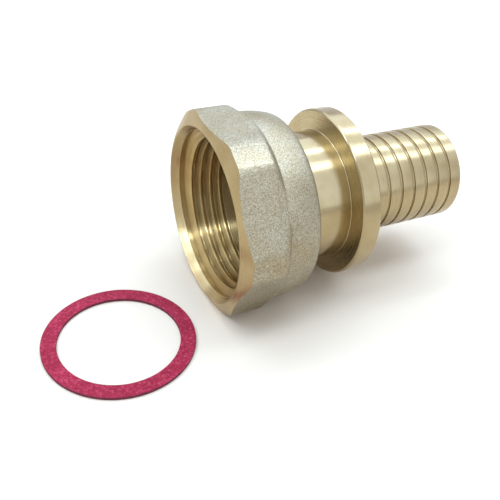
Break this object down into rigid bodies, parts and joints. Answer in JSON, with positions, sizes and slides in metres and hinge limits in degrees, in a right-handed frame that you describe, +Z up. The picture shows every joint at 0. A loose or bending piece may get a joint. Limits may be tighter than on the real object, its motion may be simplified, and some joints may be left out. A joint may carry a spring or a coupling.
{
  "type": "pipe adapter coupling",
  "caption": "Brass pipe adapter: a grooved spigot and collar for a plastic pipe held by a sliding sleeve, with a captive swivelling union nut and a loose flat gasket.",
  "frame": {"origin": "on the coupling's axis, in the rear face of the collar where the pipe stops", "axes": "+X runs along the spigot to its tip, +Z is up with the nut lying on a flat, and the nut's mouth faces -X"},
  "size_m": [0.0928, 0.0446, 0.0388],
  "materials": {
    "nut_brass": "hot forged and shot blasted outside, turned and threaded inside",
    "tailpiece_brass": "turned bright, with fine lathe marks",
    "ring_steel": "spring steel, satin",
    "gasket_fibre": "vulcanised fibre, matt"
  },
  "bodies": {
    "tailpiece": {"grooved_tailpiece": "tailpiece_brass"},
    "retainer": {"snap_ring": "ring_steel"},
    "nut": {"union_nut": "nut_brass"},
    "gasket": {"flat_gasket": "gasket_fibre"}
  },
  "joints": [
    {"name": "nut_swivel", "type": "hinge", "parent": "tailpiece", "child": "retainer", "pos_m": [-0.0169, 0, 0], "axis": [1, 0, 0], "continuous": true},
    {"name": "nut_slide", "type": "slide", "parent": "retainer", "child": "nut", "axis": [1, 0, 0], "range_m": [-0.0002, 0.0092]},
    {"name": "gasket_lift", "type": "slide", "parent": "tailpiece", "child": "gasket", "axis": [0, 0, 1], "range_m": [0, 0.05]}
  ]
}
